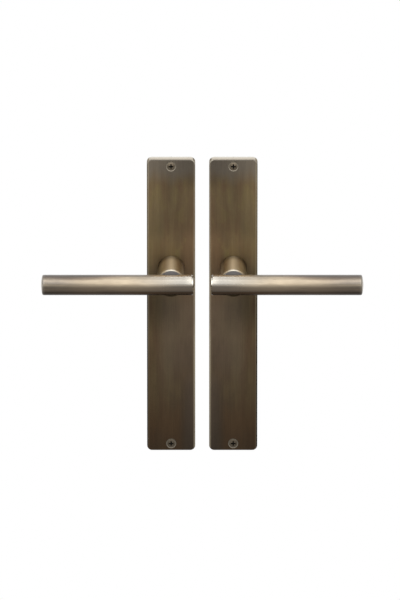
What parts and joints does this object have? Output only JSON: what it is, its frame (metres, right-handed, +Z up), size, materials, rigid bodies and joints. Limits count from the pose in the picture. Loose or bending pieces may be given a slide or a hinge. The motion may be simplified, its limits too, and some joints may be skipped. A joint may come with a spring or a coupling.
{
  "type": "door lever pair on backplates",
  "caption": "Left and right door levers, each a round bar on a round neck that turns in a long rectangular backplate with a return spring inside.",
  "frame": {"origin": "left spindle's axis, in the plane of the door's surface that both plates lie on", "axes": "+Y into the door, +Z up, +X to the right as seen from in front of the handles, along the levers"},
  "size_m": [0.2526, 0.134, 0.24],
  "materials": {
    "aged_brass": "antique brass, darkened and brushed along its height, edges rubbed lighter",
    "satin_brass": "antique brass, finely brushed along the bar, satin",
    "screw_brass": "antique brass plated screw, dark recess",
    "bearing_plastic": "black acetal",
    "zinc_plate": "zinc-plated pressed sheet",
    "zinc_steel": "zinc-plated steel",
    "washer_steel": "bright steel",
    "spring_steel": "dark oiled spring steel",
    "black_steel": "black oxide steel"
  },
  "bodies": {
    "backplates": {"left_backplate": "aged_brass", "left_neck_bush": "bearing_plastic", "left_cover_plate": "zinc_plate", "left_cover_screws": "zinc_steel", "left_stop_pin": "zinc_steel", "left_door_screws": "screw_brass", "left_return_spring": "spring_steel", "right_backplate": "aged_brass", "right_neck_bush": "bearing_plastic", "right_cover_plate": "zinc_plate", "right_cover_screws": "zinc_steel", "right_stop_pin": "zinc_steel", "right_door_screws": "screw_brass", "right_return_spring": "spring_steel"},
    "left_lever": {"left_neck": "aged_brass", "left_lever_bar": "satin_brass", "left_bar_screw": "black_steel", "left_grub_screw": "black_steel", "left_thrust_washer": "washer_steel", "left_circlip": "spring_steel", "left_return_cam": "zinc_steel", "spindle": "zinc_steel"},
    "right_lever": {"right_neck": "aged_brass", "right_lever_bar": "satin_brass", "right_bar_screw": "black_steel", "right_grub_screw": "black_steel", "right_thrust_washer": "washer_steel", "right_circlip": "spring_steel", "right_return_cam": "zinc_steel"}
  },
  "joints": [
    {"name": "left_lever_turn", "type": "hinge", "parent": "backplates", "child": "left_lever", "pos_m": [0, 0, 0], "axis": [0, -1, 0], "range_deg": [0, 50], "stiffness_Nm_per_rad": 0.2, "springref_deg": -40.11, "deforming": ["left_return_spring"]},
    {"name": "right_lever_turn", "type": "hinge", "parent": "backplates", "child": "right_lever", "pos_m": [0.049, 0, 0], "axis": [0, 1, 0], "range_deg": [0, 50], "stiffness_Nm_per_rad": 0.2, "springref_deg": -40.11, "deforming": ["right_return_spring"]}
  ]
}
